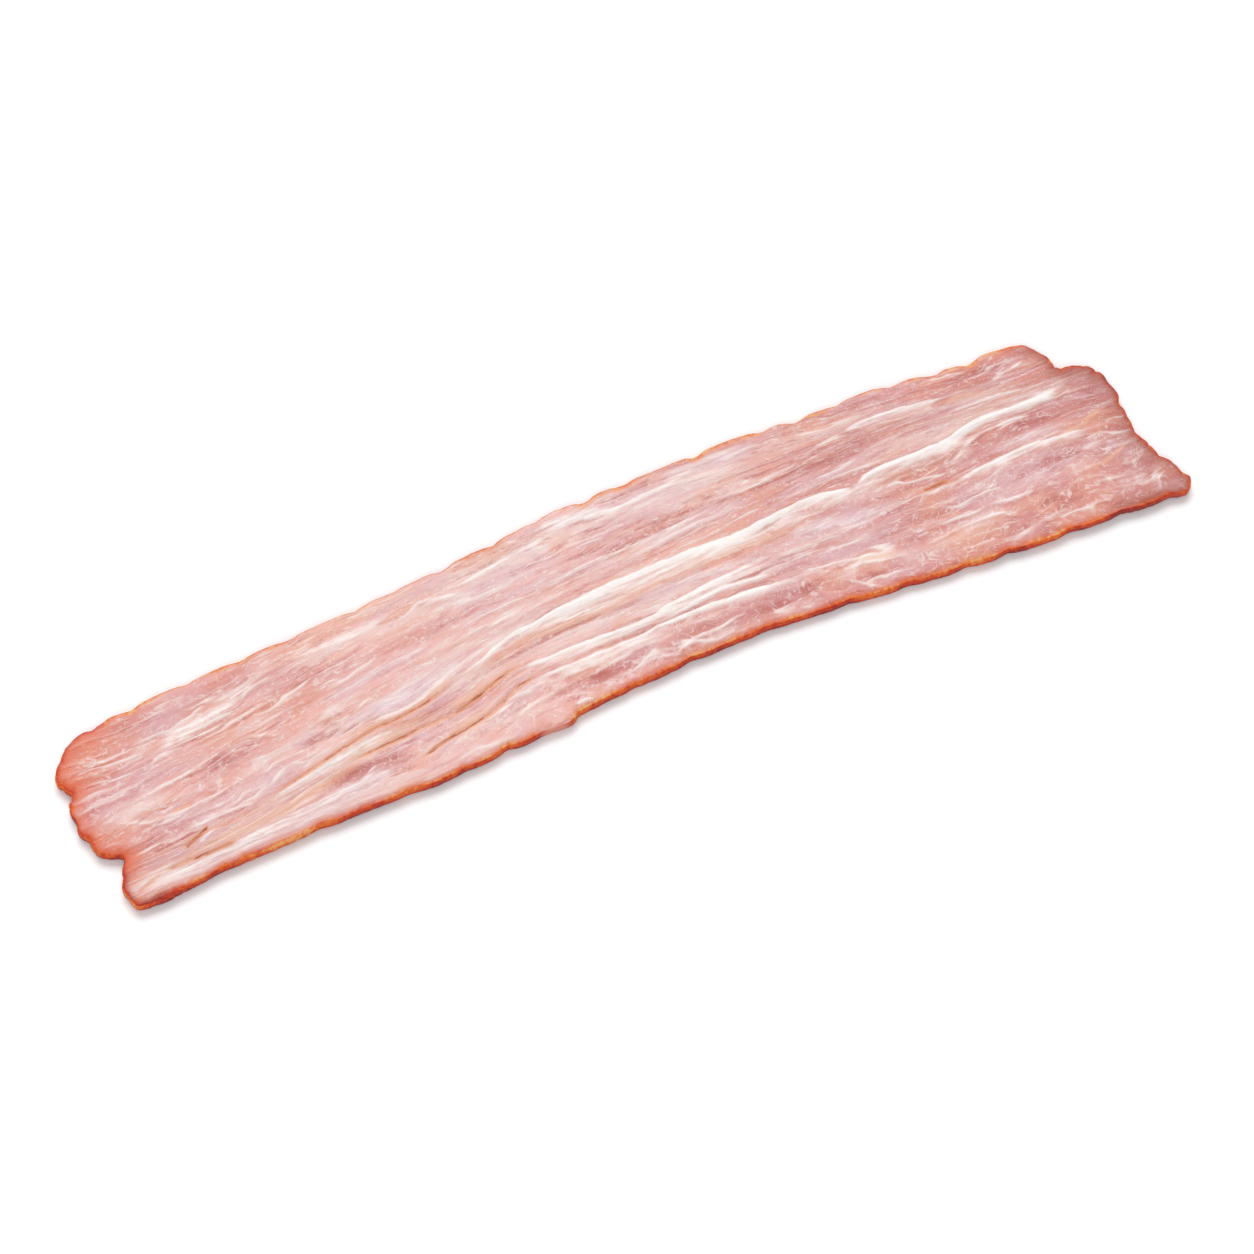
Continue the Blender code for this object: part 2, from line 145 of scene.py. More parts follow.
# Each mark: its kind, half-width in mm, strength, and the points it runs through
MARKS = (
    # the main band of fat, from its thin start in the middle to its fading right end
    ("white", 0.8, 0.8, (-33, -3), (-23, 0.4), (-18, 1.6), (0, 2.9)),
    ("white", 1.0, 1.0, (-18, 1.5), (-5, 2.8), (12, 3.3), (18, 2.9), (24, 2.9), (32, 3.5)),
    ("cream", 1.5, 0.7, (-26, -1.9), (-18, 0.1), (-8, 0.4), (14, 1.3), (44, 1.2)),
    ("peach", 0.9, 0.8, (-29, -2.9), (-22, -1.3), (-14, -0.8), (-4, -0.8), (16, 0.5), (26, 0.1),
        (36, 0.4)),
    ("white", 0.6, 0.95, (24, 3), (37, 4.1), (47, 2.9)),
    ("cream", 1.2, 0.8, (26, 2.6), (34, 3), (47, 2)),
    ("white", 0.75, 1.0, (45, 2.4), (51, 4.6), (62, 4.6), (67, 4.7), (71, 5.9), (74, 6.4)),
    ("cream", 1.7, 0.85, (46, 1.8), (54, 3.3), (66, 2.7), (72, 4.4)),
    ("white", 0.8, 0.9, (66, 4.7), (74, 6.4), (84, 6), (90, 6.3)),
    ("haze", 1.2, 0.6, (82, 6.6), (94, 7.4)),
    ("cream", 1.0, 0.5, (68, 4.6), (76, 5.4), (84, 5), (90, 5.6)),
    # the second band, with the thin line under it
    ("edge", 0.5, 1.0, (-26, -6), (-15, -5.6), (-5, -5.8), (0, -5.9), (12, -4.3), (20, -3.9), (26, -4.4)),
    ("cream", 1.0, 0.85, (-24, -7.2), (-12, -6.8), (-2, -6.9), (12, -5.3), (20, -4.9), (28, -5.3)),
    ("line", 0.7, 0.6, (24, -4.7), (38, -4.1), (45, -4.6), (50, -5.6)),
    ("dark", 0.35, 0.6, (-26, -8.2), (-12, -8.3), (2, -8), (9, -7.1), (16, -6.8), (22, -7.6)),
    ("edge", 0.45, 0.8, (3, -7.5), (13, -6), (18, -6), (27, -7.6)),
    # the third band
    ("edge", 0.5, 0.95, (-24, -8.7), (-4, -8.7), (8, -8), (14, -8.1), (28, -9)),
    ("cream", 1.1, 0.7, (-29, -10.8), (-22, -9.9), (-2, -9.9), (5, -9.3)),
    ("cream", 0.7, 0.5, (3, -9.1), (12, -8.7), (33, -9.6)),
    ("line", 0.5, 0.7, (26, -9), (33, -9.2), (45, -11), (48, -12)),
    ("peach", 0.7, 0.8, (38, -10.6), (48.5, -12.6)),
    # creases that the bands rise from
    ("crease", 0.3, 0.78, (-72, -10.2), (-66, -9.3), (-52, -6.1), (-46, -5.7), (-40, -5), (-32.6, -2.7)),
    ("crease", 0.34, 0.9, (-58, -10), (-38, -8.9), (-34, -8.4), (-25, -5.5), (-20.5, -5.3)),
    ("crease", 0.38, 0.95, (-46, -15.1), (-40, -13.1), (-31, -11.6), (-24, -8.6), (-19.5, -8.4)),
    ("crease", 0.32, 1.0, (-92.5, -16.2), (-90, -15.9), (-78.5, -15.8)),
    ("slit", 0.3, 1.0, (-87.6, -13.5), (-82.4, -11.3)),
    ("line", 0.3, 0.8, (-86.6, -13.9), (-81.5, -11.8)),
    ("crease", 0.22, 0.6, (-87.4, -6.2), (-82.8, -6)),
    ("slit", 0.3, 1.0, (56.8, -2.9), (62.3, -2.9)),
    ("crease", 0.22, 0.5, (-98, -18), (-94.6, -16.7), (-92.5, -16.3)),
    ("peach", 0.7, 0.9, (-56, -6.4), (-50, -5.2), (-44, -4.9), (-38, -4), (-33, -2.4), (-28, -1.6)),
    ("peach", 0.7, 0.9, (-40, -8.4), (-34, -7.6), (-29, -6.2), (-23, -4.9)),
    ("peach", 0.7, 0.9, (-44, -13.6), (-30, -10.6), (-25, -8.2)),
    # the left end: the white lens, the tan band and the broad milky front
    ("haze", 1.2, 0.85, (-74, -11.2), (-60, -9.3), (-54, -8.2), (-43, -7.3)),
    ("peach", 1.1, 0.8, (-58, -9.4), (-50, -8.9), (-39.5, -7.4)),
    ("peach", 1.0, 1.0, (-92, -15.3), (-70, -13.8), (-58, -11.2), (-52, -10.4)),
    ("haze", 2.0, 1.0, (-102, -17.6), (-86, -17)),
    ("pale", 1.6, 1.0, (-100, -16.6), (-89, -17.4)),
    ("pale", 1.3, 0.8, (-99, -8.4), (-90, -8.2)),
    ("haze", 0.7, 0.6, (-88, -16.9), (-68, -16.1)),
    ("milky", 1.9, 0.9, (-99, -19.2), (-92, -18.2), (-50, -15.8)),
    ("line", 0.4, 0.8, (-80, -16.1), (-64, -14.9)),
    # Painted sheen: the lavender-white highlight in a wet hollow
    ("milky", 0.9, 1.0, (-66, -15.4), (-54, -14.6), (-48, -15)),
    ("cream", 0.9, 0.6, (-62, -18.5), (-55, -18.2), (-40, -18.6)),
    ("dark", 1.3, 0.9, (-65, -13.2), (-59, -12.6), (-46, -13.2)),
    # the lean left of the middle
    # A broad pale patch: frayed fat, and painted glare on the wet surface
    ("haze", 1.4, 1.0, (-88, 5.4), (-66, 9.7)),
    ("line", 0.6, 0.7, (-72, 9.6), (-66, 10.6), (-61, 10.9)),
    ("line", 0.35, 0.6, (-92, 4.1), (-88, 4.7), (-66, 6.4), (-58, 7.4)),
    ("pale", 1.2, 0.7, (-99, 8.6), (-96.5, 8.9), (-94, 7.6), (-90, 6.6), (-84, 7.2)),
    ("vein", 0.35, 0.8, (-99.5, 8.3), (-97.5, 8.9), (-93, 6.9)),
    ("vein", 0.3, 0.9, (-99.6, 4.5), (-97, 4.5), (-94, 3.7), (-92.9, 2.6), (-93.6, 1.2)),
    ("vein", 0.4, 0.9, (-97.2, -2.6), (-90, -1.3), (-82, -0.5), (-79, 0.3), (-71, 1.6)),
    ("vein", 0.35, 0.9, (-70.5, 1.7), (-64, -0.6)),
    ("dark", 1.4, 0.7, (-80, -1), (-74, -0.4), (-68, -0.6)),
    ("pale", 1.3, 0.8, (-95, -3), (-77, -4.2)),
    ("vein", 0.45, 0.9, (-99.5, -3.7), (-97, -3.8), (-92.5, -6.2), (-89, -6.6), (-84, -6.7), (-78, -6.1),
        (-72, -5)),
    ("line", 0.6, 0.7, (-90, -7.6), (-86, -7.4), (-83, -7.6)),
    ("vein", 0.35, 0.9, (-87.2, -10.2), (-82, -10), (-72, -10.8)),
    ("vein", 0.35, 0.8, (-97.4, -12), (-92, -10.8), (-88, -11.1), (-82, -11), (-78, -11.5)),
    ("pale", 0.9, 0.7, (-74, -5), (-57, -1.2)),
    ("line", 0.5, 0.6, (-72, -6.4), (-66, -4.6), (-60, -4.5)),
    ("dark", 0.9, 0.7, (-66, -3.6), (-53, -3.9)),
    ("vein", 0.3, 0.8, (-57.4, 0.2), (-56.4, -1.4), (-54.8, -2), (-51, -1), (-47, 0.2)),
    ("salmon", 2.2, 0.8, (-66, 4.2), (-50, 6.3)),
    # the lean behind the bands, middle
    ("line", 0.9, 0.8, (-62, 12.2), (-56, 12.9), (-49, 12.9), (-42, 13.4), (-36, 14.6)),
    ("line", 0.6, 0.8, (-36, 14.9), (-26, 12.3), (-21, 11.4)),
    ("line", 0.5, 0.8, (-30, 14.6), (-24, 14.4), (-11, 16.3), (-4, 17)),
    ("haze", 1.5, 1.0, (-12, 17.2), (-7, 18.4), (-2, 18.4), (4, 17.3), (10, 17.1)),
    ("line", 0.6, 0.9, (-2, 17.4), (4, 16.9), (10, 16.9), (23, 18.2)),
    ("dark", 0.9, 0.5, (-6, 15.4), (11, 13)),
    ("dark", 0.35, 0.9, (0, 19.2), (6, 18.9), (18, 20.1), (34, 19.8)),
    ("milky", 1.1, 0.7, (14, 18.8), (22, 18.9), (37, 18.4)),
    ("pale", 1.7, 0.8, (-38, 12.8), (-24, 12.8), (-8, 13.8)),
    ("pale", 1.3, 0.7, (-62, 12.6), (-50, 12)),
    ("pale", 1.3, 0.7, (2, 17.2), (18, 16.4), (32, 15.2)),
    ("pale", 1.2, 0.7, (42, 16.8), (54, 16.2)),
    ("pale", 1.6, 0.7, (-62, -3.2), (-20, 3.6), (-10, 4.6)),
    ("pale", 0.9, 0.7, (-8, -3.4), (4, -3), (16, -3.2)),
    ("peach", 0.5, 0.6, (-4, 11.4), (3, 11.4), (10, 11.9)),
    ("line", 0.35, 0.8, (-20, 8.1), (-12, 7.6), (-6, 8.4), (0, 8.7), (6, 8.5), (18, 9.3), (24, 9.4)),
    ("line", 0.4, 0.7, (20, 10), (26, 10.9), (33, 10.8), (41, 11)),
    ("milky", 0.8, 0.6, (-57, 2.9), (-50, 3.6), (-44, 4.6), (-32, 5.7)),
    ("line", 0.45, 0.6, (-38, 2.1), (-28, 4.4), (-20, 4.6), (-12, 5)),
    ("salmon", 1.2, 0.7, (-46, 2.6), (-10, 3.2)),
    ("milky", 1.8, 0.8, (-54, -3), (-40, -2), (-27, 0.6)),
    # the lean between the main band and the second
    ("dark", 0.55, 0.7, (-10, -2.9), (6, -1.9)),
    ("milky", 0.8, 0.6, (8, -2.4), (15, -2.2), (21, -3), (28, -3.4)),
    ("milky", 0.9, 0.7, (30, -1), (37, -1.8), (50, -4.2)),
    ("vein", 0.4, 0.9, (46.6, 2.6), (47.2, 1.6), (47.2, 0.4), (47.8, -0.9)),
    # cells and veins of the front lean
    ("vein", 0.4, 0.9, (-34, -12.4), (-30, -12), (-26, -11.1)),
    ("pale", 1.0, 0.8, (-50, -17.2), (-42, -16.6), (-27, -14.2)),
    ("cream", 0.7, 0.7, (-28, -14.4), (-20, -12.3), (-15, -12)),
    ("vein", 0.35, 0.8, (-16, -12.1), (-11, -11.9), (-5, -11.1), (0, -10.8)),
    ("dark", 1.1, 0.9, (-14, -13.2), (-10.6, -13), (-7.6, -13.4)),
    # A painted glint, drawn in the fat's white
    ("white", 0.5, 0.9, (-17.4, -16.2), (-15.4, -16), (-13.2, -16.4)),
    ("vein", 0.35, 0.8, (-20, -14.8), (-16.5, -14.3), (-11.6, -16.2)),
    ("cream", 0.6, 0.8, (-25.4, -18.7), (-19, -18.2)),
    ("vein", 0.35, 0.9, (-1.6, -11.6), (-1.6, -13), (0.8, -14.2), (3.4, -14.7), (5.4, -13.7), (8, -13.1),
        (12, -13), (15.6, -12.4), (17.8, -11.2), (15.8, -10.9)),
    ("dark", 1.3, 0.8, (18, -12.6), (27, -14.3)),
    ("dark", 0.9, 0.8, (27, -11.9), (31, -12.2), (34, -13)),
    ("vein", 0.45, 0.9, (35, -13), (40.8, -16.6), (43.4, -17.3)),
    ("vein", 0.45, 0.9, (36.4, -14), (40, -11.7), (44, -12.4), (47.6, -13.4)),
    ("dark", 0.9, 0.9, (39.6, -13.3), (44.2, -16.2)),
    # the right end, behind the main band
    ("line", 0.5, 0.9, (38, 12), (46, 13.6), (52, 14.3)),
    ("salmon", 1.5, 0.9, (28, 16.2), (44, 14.4)),
    ("dark", 1.8, 0.7, (28, 9), (38, 9), (50, 10.4), (60, 11)),
    # A pale line with painted glints along it
    ("milky", 0.5, 0.9, (40.4, 7.4), (44, 7.3), (50.5, 8.6)),
    ("edge", 0.5, 0.75, (49, 13.9), (53.6, 14.7), (59, 14.8), (64.6, 14), (70, 12.7)),
    ("cream", 1.5, 0.5, (51, 13.2), (62, 13), (68, 11.9)),
    ("peach", 0.5, 0.9, (68.6, 12.3), (77.6, 11)),
    ("vein", 0.35, 0.9, (76.4, 12.3), (81, 13), (88.6, 14.9)),
    ("pale", 1.3, 0.9, (67, 9.6), (72, 9.8), (78, 9.2), (84, 7.8)),
    ("line", 0.45, 0.8, (66, 9), (70, 10), (81, 9.5), (84, 8.2), (85, 7)),
    ("vein", 0.35, 0.9, (62.9, -2.4), (68, 2.2), (76, 3.7), (85.4, 3)),
    ("dark", 1.3, 0.8, (76, 2), (81, 2), (85, 1.2)),
    ("dark", 1.5, 0.7, (90, 2.2), (94, 2), (97, 3)),
    ("dark", 1.4, 0.7, (52, 0.3), (62, -0.2)),
    ("dark", 1.6, 0.7, (70, 15), (76, 14.6), (83, 15.6)),
    # the right end, in front of the main band
    ("line", 0.45, 0.8, (50, -4), (56, -3.5), (62, -3.7), (74, -2.6), (80, -2.4), (84, -2.7)),
    ("edge", 0.4, 0.6, (62, -4), (78, -2.5), (86, -3.1), (92, -4.2)),
    ("cream", 1.3, 0.75, (64, -4.6), (78, -3.3), (92, -4.8)),
    ("peach", 0.4, 0.9, (83.4, -2.5), (88.6, -2.8), (91, -1.7), (94, -1), (97.4, -0.9)),
    ("milky", 1.1, 0.7, (70, -0.9), (76, -0.6), (84, -1.2), (89, -2.2)),
    ("pale", 0.8, 0.7, (55, -6.2), (62, -7.2), (69, -6.4)),
    ("vein", 0.35, 0.8, (65.2, -9.4), (66.8, -7.8), (70.6, -6.7)),
    ("dark", 0.9, 0.6, (50, -8), (61, -8.6)),
    ("line", 0.5, 0.9, (54.6, -10.6), (66, -10.6), (77, -11.5)),
    ("salmon", 0.9, 0.8, (66, -11.8), (75, -12.6)),
    ("vein", 0.35, 0.9, (49.6, -14.2), (56, -12.9), (62, -12.6), (67.6, -12.7), (69, -14.2), (71, -15),
        (71.7, -13.4)),
    ("peach", 1.3, 0.35, (54, -14.6), (66, -14.6)),
    ("peach", 0.35, 0.9, (83.6, -11), (88, -11.3), (91, -10.7), (94, -9.4), (96.8, -8.9)),
    ("vein", 0.35, 0.8, (89.6, -12.2), (93, -13.2), (95.8, -13.1), (96.4, -11), (96.2, -9.4)),
    ("vein", 0.4, 0.9, (98.2, -17.2), (96.4, -18), (95.8, -19.8), (94.2, -21.4)),
    ("dark", 1.4, 0.6, (76, -7), (83, -7.6), (90, -7.4)),
    ("dark", 1.6, 0.8, (72, -13.6), (78, -14.4), (85, -14.6)),
    ("dark", 1.6, 0.6, (84, -19), (90, -19.4), (94, -18.8)),
    ("line", 0.7, 0.7, (61, -18.8), (64.6, -17.8), (68, -18.4), (75.6, -17.2), (82, -16.9)),
)  # fmt: skip

# The lean is rosy at the left end, pale in the middle and rosy again at the right: (x, share of rose)
ROSINESS = (
    (-102, 0.8), (-84, 0.42), (-60, 0.25), (-30, 0.12), (0, 0.18), (25, 0.42), (45, 0.8), (102, 1.0),
)  # fmt: skip
PALE_LEAN, ROSE_LEAN = (252, 193, 184), (220, 137, 129)

# Patches in which the lean differs from that
TINTS = {
    "deep": (204, 118, 110),
    "rose": (221, 142, 134),
    "dusky": (190, 112, 100),
    "pale": (255, 220, 212),
    "salmon": (235, 134, 108),
    "lilac": (234, 190, 196),
    "peach": (247, 182, 148),
}
# Each patch: its tint, strength, middle and half-size in mm
PATCHES = (
    ("salmon", 0.85, (-98, 8), (8, 9)), ("salmon", 0.45, (-98, -9), (6, 9)),
    ("rose", 0.9, (-93, 2), (5, 3)), ("salmon", 0.6, (-94, 2), (4, 3)),
    ("rose", 0.95, (-83, 12.0), (10, 3.0)), ("rose", 0.35, (-72, -1.5), (9, 2.2)),
    ("lilac", 0.5, (-74, -7.5), (12, 2.2)), ("rose", 0.5, (-55, 7.0), (9, 2.0)),
    ("pale", 0.6, (-55, -16.8), (9, 1.2)), ("salmon", 0.3, (-62, 5.0), (9, 1.6)),
    ("pale", 0.75, (-50, 12.2), (14, 2.0)), ("peach", 0.7, (-44, 16.9), (14, 1.4)),
    ("salmon", 0.55, (-74, 14.0), (14, 2.4)), ("deep", 0.85, (-56, -12.8), (7, 1.8)),
    ("lilac", 0.6, (-44, -2.6), (10, 2.0)), ("salmon", 0.45, (-41, -7.2), (8, 1.3)),
    ("salmon", 0.35, (-28, -8.0), (7, 1.2)), ("pale", 0.85, (-25, 11.6), (12, 2.0)),
    ("rose", 0.45, (-36, 8.0), (11, 1.6)), ("lilac", 0.5, (-18, 12.4), (13, 2.4)),
    ("rose", 0.55, (-3, -3.0), (9, 1.3)), ("rose", 0.85, (-8, -13.0), (10, 2.4)),
    ("deep", 1.0, (9, -13.2), (10, 2.6)), ("deep", 0.7, (23, -13.2), (8, 2.2)),
    ("rose", 0.45, (10, 12.4), (9, 2.0)), ("pale", 0.95, (3, 16.2), (30, 2.6)),
    ("lilac", 0.6, (26, 17.6), (11, 1.5)), ("pale", 0.5, (8, 7.0), (14, 1.7)),
    ("pale", 0.95, (20, 11.6), (9, 1.8)), ("rose", 0.6, (33, 8.0), (9, 2.0)),
    ("deep", 0.45, (34, -12.6), (7, 1.5)), ("lilac", 0.6, (37, -3.0), (13, 2.0)),
    ("lilac", 0.5, (42, -8.6), (10, 1.6)), ("deep", 0.35, (50, 10.4), (12, 1.5)),
    ("lilac", 0.4, (50, -14.0), (8, 2.0)), ("rose", 0.6, (62, 17.2), (17, 1.8)),
    ("deep", 0.75, (78, 15.8), (12, 2.0)), ("pale", 0.8, (68, 7.2), (20, 1.8)),
    ("pale", 0.5, (76, 11.2), (6, 1.6)), ("deep", 0.6, (91, 2.3), (7, 3.4)),
    ("deep", 0.6, (78, 2.0), (9, 1.3)), ("deep", 0.75, (60, 1.2), (10, 2.0)),
    ("deep", 0.4, (37, -0.2), (8, 1.4)), ("peach", 0.5, (61, -14.4), (9, 1.7)),
    ("lilac", 0.45, (82, -8.0), (11, 3.0)), ("rose", 0.4, (77, -14.0), (10, 3.0)),
    ("pale", 0.9, (-9, -3.2), (12, 1.5)), ("pale", 1.0, (-22, 2.8), (12, 2.0)),
    ("pale", 0.7, (48, 1.6), (5, 1.8)), ("pale", 0.7, (42, 16.4), (12, 1.6)),
    ("pale", 1.0, (-54, -8.2), (9, 2.2)), ("pale", 1.0, (-94, -17.2), (7, 2.0)),
    ("rose", 0.9, (-68, 11.6), (9, 2.0)), ("pale", 0.6, (-40, -13.4), (6, 1.6)),
    ("pale", 0.8, (-93, -3.4), (6, 2.0)), ("pale", 0.95, (-56, -3), (10, 2.2)),
    ("pale", 0.8, (-30, -3.6), (7, 1.8)), ("pale", 0.9, (6, -3.2), (10, 1.5)),
    ("pale", 0.95, (-16, 15.8), (12, 2.4)), ("pale", 0.85, (-29, -13.4), (6, 2.0)),
    ("salmon", 0.9, (74, 17.6), (14, 2.0)), ("dusky", 0.6, (98, -5), (6, 19)),
    ("lilac", 0.5, (10, -2.4), (16, 1.4)), ("deep", 0.5, (98, -10), (8, 12)),
    ("salmon", 0.55, (92, 12), (8, 4)), ("pale", 0.4, (62, -12.8), (7, 1.6)),
    ("deep", 0.4, (58, -8), (14, 2.0)), ("pale", 0.35, (75, -8), (6, 2)),
    ("lilac", 0.6, (-14, 7.4), (16, 1.6)),
)  # fmt: skip
FAT_COLOUR = (0.832, 0.768, 0.742)  # linear
# The crust's colours, from tan to dark brown: (brownness, colour)
CRUST = ((0.1, (252, 180, 108)), (0.36, (242, 112, 24)), (0.66, (214, 56, 0)), (0.98, (152, 22, 0)))
# Named colours are what the slice looks like under the studio's lights, so they are darkened by this much
LIGHT_GAIN = 1.36


def smooth_step(value):
    value = np.clip(value, 0, 1)
    return value * value * (3 - 2 * value)


def beyond(value, start, reach):
    """0 up to the start, rising smoothly to 1 over the reach."""
    return smooth_step((value - start) / reach)


def from_zero(noise):
    """Noise from -1 to 1 brought to 0 to 1."""
    return 0.5 + 0.5 * noise


def linear(srgb):
    """Linear colour from sRGB steps of 1/255."""
    share = np.asarray(srgb, float) / 255
    return np.where(share > 0.04045, ((share + 0.055) / 1.055) ** 2.4, share / 12.92)


def noise_table(seed):
    rng = np.random.default_rng(seed)
    return rng.uniform(-1, 1, (256, 256)), rng.uniform(0, 256, 256)


def streaks(along, across, length, width, seed):
    """Smooth noise from -1 to 1, in spots of about length by width mm. Each row has a start of its own."""
    table, starts = noise_table(seed)

    def row_value(row):
        place = along / length + starts[row % 256]
        column = np.floor(place).astype(int)
        part = smooth_step(place - column)
        return table[row % 256, column % 256] * (1 - part) + table[row % 256, (column + 1) % 256] * part

    place = across / width
    row = np.floor(place).astype(int)
    part = smooth_step(place - row)
    return row_value(row) * (1 - part) + row_value(row + 1) * part


def fibres(along, across, length, width, seed, octaves=3):
    """Streaks at several sizes, each half as long and wide as the one before."""
    found, weight = 0, 0
    for k in range(octaves):
        share = 0.62**k
        found = found + share * streaks(along, across, length / 2**k, width / 2**k, seed + k)
        weight += share
    return found / weight


def curve_through(points, closed=False, per_span=8):
    """A smooth curve through the points (Catmull-Rom), as an array of places."""
    points = np.asarray(points, float)
    ends = (points[-1:], points[:2]) if closed else (points[:1], points[-1:])
    padded = np.concatenate([ends[0], points, ends[1]])
    spans = len(points) if closed else len(points) - 1
    f = np.arange(per_span)[:, None] / per_span
    found = []
    for k in range(spans):
        before, start, end, after = padded[k : k + 4]
        bend = 2 * before - 5 * start + 4 * end - after
        twist = 3 * start - before - 3 * end + after
        found.append(start + 0.5 * f * ((end - before) + f * (bend + f * twist)))
    if not closed:
        found.append(points[-1:])
    return np.concatenate(found)


def run_length(places):
    return np.concatenate([[0], np.cumsum(np.linalg.norm(np.diff(places, axis=0), axis=1))])


def at_lengths(places, lengths):
    """The places at these lengths along a line of places."""
    run = run_length(places)
    return np.stack([np.interp(lengths, run, places[:, k]) for k in range(places.shape[1])], 1)


def cad_outline():
    """The CAD slice's outermost loop seen from above, anticlockwise, in mm."""
    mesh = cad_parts[NODE].data
    mesh.calc_loop_triangles()
    places = np.empty(len(mesh.vertices) * 3)
    mesh.vertices.foreach_get("co", places)
    corners = np.empty(len(mesh.loop_triangles) * 3, np.int32)
    mesh.loop_triangles.foreach_get("vertices", corners)
    places, same = np.unique((places.reshape(-1, 3) / MM).round(3), axis=0, return_inverse=True)
    triangles = same.ravel()[corners].reshape(-1, 3)
    a, b, c = places[triangles].transpose(1, 0, 2)
    facing_up = triangles[np.cross(b - a, c - a)[:, 2] > 0]
    edges = {(t[k], t[(k + 1) % 3]) for t in facing_up.tolist() for k in range(3)}
    after = {start: end for start, end in edges if (end, start) not in edges}
    start = max(after, key=lambda k: places[k, 0])
    loop = [start]
    while after[loop[-1]] != start:
        loop.append(after[loop[-1]])
    return places[loop, :2]


def gaps_between_nubs(lengths):
    """1 in the notches between the rounded nubs of the rim, some of them deeper than others."""
    phase = np.pi * (lengths / 3.1 + 1.6 * streaks(lengths, 0 * lengths, 6.0, 1, 73))
    return (1 - np.abs(np.sin(phase))) ** 2 * from_zero(streaks(lengths, 0 * lengths, 4.0, 1, 74))


def fine_outline():
    """The outline at even steps, with small uneven bites, and its inward normals."""
    curve = curve_through(cad_outline(), closed=True)
    curve = np.concatenate([curve, curve[:1]])
    lengths = np.arange(0, run_length(curve)[-1], OUTLINE_STEP)
    places = at_lengths(curve, lengths)
    x, y = places.T
    at_end = beyond(np.abs(x), 86, 8)
    smooth_corner = beyond(y, 7, 4) * smooth_step(-x / 50)
    rough = from_zero(streaks(lengths, 0 * lengths, 1.3, 1, 71))
    fine = from_zero(streaks(lengths, 0 * lengths, 0.7, 1, 72))
    bite = (0.08 + 0.12 * at_end) * rough + 0.06 * fine
    bite += (0.06 + 0.4 * at_end) * (1 - 0.8 * smooth_corner) * gaps_between_nubs(lengths)
    bite -= 0.17 * at_end + 0.12 * beyond(y, 6, 4)
    normals = inward_normals(places, 1.2)
    return places + bite[:, None] * normals, inward_normals(places, 1.6)


def inward_normals(loop, reach):
    """For each point of an anticlockwise loop, the direction inwards, evened out over reach mm."""
    spread = max(1, round(reach / OUTLINE_STEP))
    chord = np.roll(loop, -spread, 0) - np.roll(loop, spread, 0)
    for _ in range(spread):
        chord = (np.roll(chord, 1, 0) + chord + np.roll(chord, -1, 0)) / 3
    normal = np.stack([-chord[:, 1], chord[:, 0]], 1)
    return normal / np.linalg.norm(normal, axis=1)[:, None]


def boundary_of_net(outline, normals):
    """The outline and its normals at the net's outermost points, once round from the front left corner."""
    nearest = [int(np.argmin(np.linalg.norm(outline - CORNERS[name], axis=1))) for name in CORNERS]
    both = np.concatenate([outline, normals], 1)
    found = []
    for start, end, count in zip(nearest, nearest[1:] + nearest[:1], (COLUMNS, ROWS, COLUMNS, ROWS)):
        past = end + 1 if end > start else end + 1 + len(both)
        side = np.take(both, range(start, past), axis=0, mode="wrap")
        run = run_length(side[:, :2])
        lengths = np.linspace(0, run[-1], count + 1)[:-1]
        found.append(np.stack([np.interp(lengths, run, side[:, k]) for k in range(4)], 1))
    found = np.concatenate(found)
    return found[:, :2], found[:, 2:] / np.linalg.norm(found[:, 2:], axis=1)[:, None]


def net_inside(rim):
    """The net of the top as an array [column, row] of places, blended from its rim and evened out."""
    front = rim[: COLUMNS + 1]
    right = rim[COLUMNS : COLUMNS + ROWS + 1]
    back = rim[COLUMNS + ROWS : 2 * COLUMNS + ROWS + 1][::-1]
    left = np.concatenate([rim[2 * COLUMNS + ROWS :], rim[:1]])[::-1]
    u = np.linspace(0, 1, COLUMNS + 1)[:, None, None]
    v = np.linspace(0, 1, ROWS + 1)[None, :, None]
    across = (1 - v) * front[:, None] + v * back[:, None]
    along = (1 - u) * left[None] + u * right[None]
    corners = (1 - v) * ((1 - u) * front[0] + u * front[-1]) + v * ((1 - u) * back[0] + u * back[-1])
    net = across + along - corners
    for _ in range(RELAXING_ROUNDS):
        around = net[2:, 1:-1] + net[:-2, 1:-1] + net[1:-1, 2:] + net[1:-1, :-2]
        net[1:-1, 1:-1] = 0.5 * net[1:-1, 1:-1] + 0.125 * around
    return net


def edge_loop(indices):
    """The outermost indices of an array [column, row], once round, anticlockwise."""
    return np.concatenate([indices[:-1, 0], indices[-1, :-1], indices[:0:-1, -1], indices[0, :0:-1]])


def loop_shares(columns, rows):
    """How far round each point of such a loop is, in sides."""
    sides = (columns, rows, columns, rows)
    return np.concatenate([side + np.arange(count) / count for side, count in enumerate(sides)])


def quads_of(indices):
    a, b, c, d = indices[:-1, :-1], indices[1:, :-1], indices[1:, 1:], indices[:-1, 1:]
    return np.stack([a, b, c, d], -1).reshape(-1, 4)


def ring_quads(upper, lower):
    """The faces of a wall between two loops of as many vertices."""
    return np.stack([lower, np.roll(lower, -1), np.roll(upper, -1), upper], 1)


def zipped(upper, upper_shares, lower, lower_shares):
    """Triangles between two loops that have different counts of vertices."""
    faces, i, j = [], 0, 0
    n, m = len(upper), len(lower)
    ends = (np.append(upper_shares, 4.0), np.append(lower_shares, 4.0))
    while i < n or j < m:
        if j == m or (i < n and ends[0][i + 1] <= ends[1][j + 1]):
            faces.append((upper[i], lower[j % m], upper[(i + 1) % n]))
            i += 1
        else:
            faces.append((upper[i % n], lower[j], lower[(j + 1) % m]))
            j += 1
    return faces


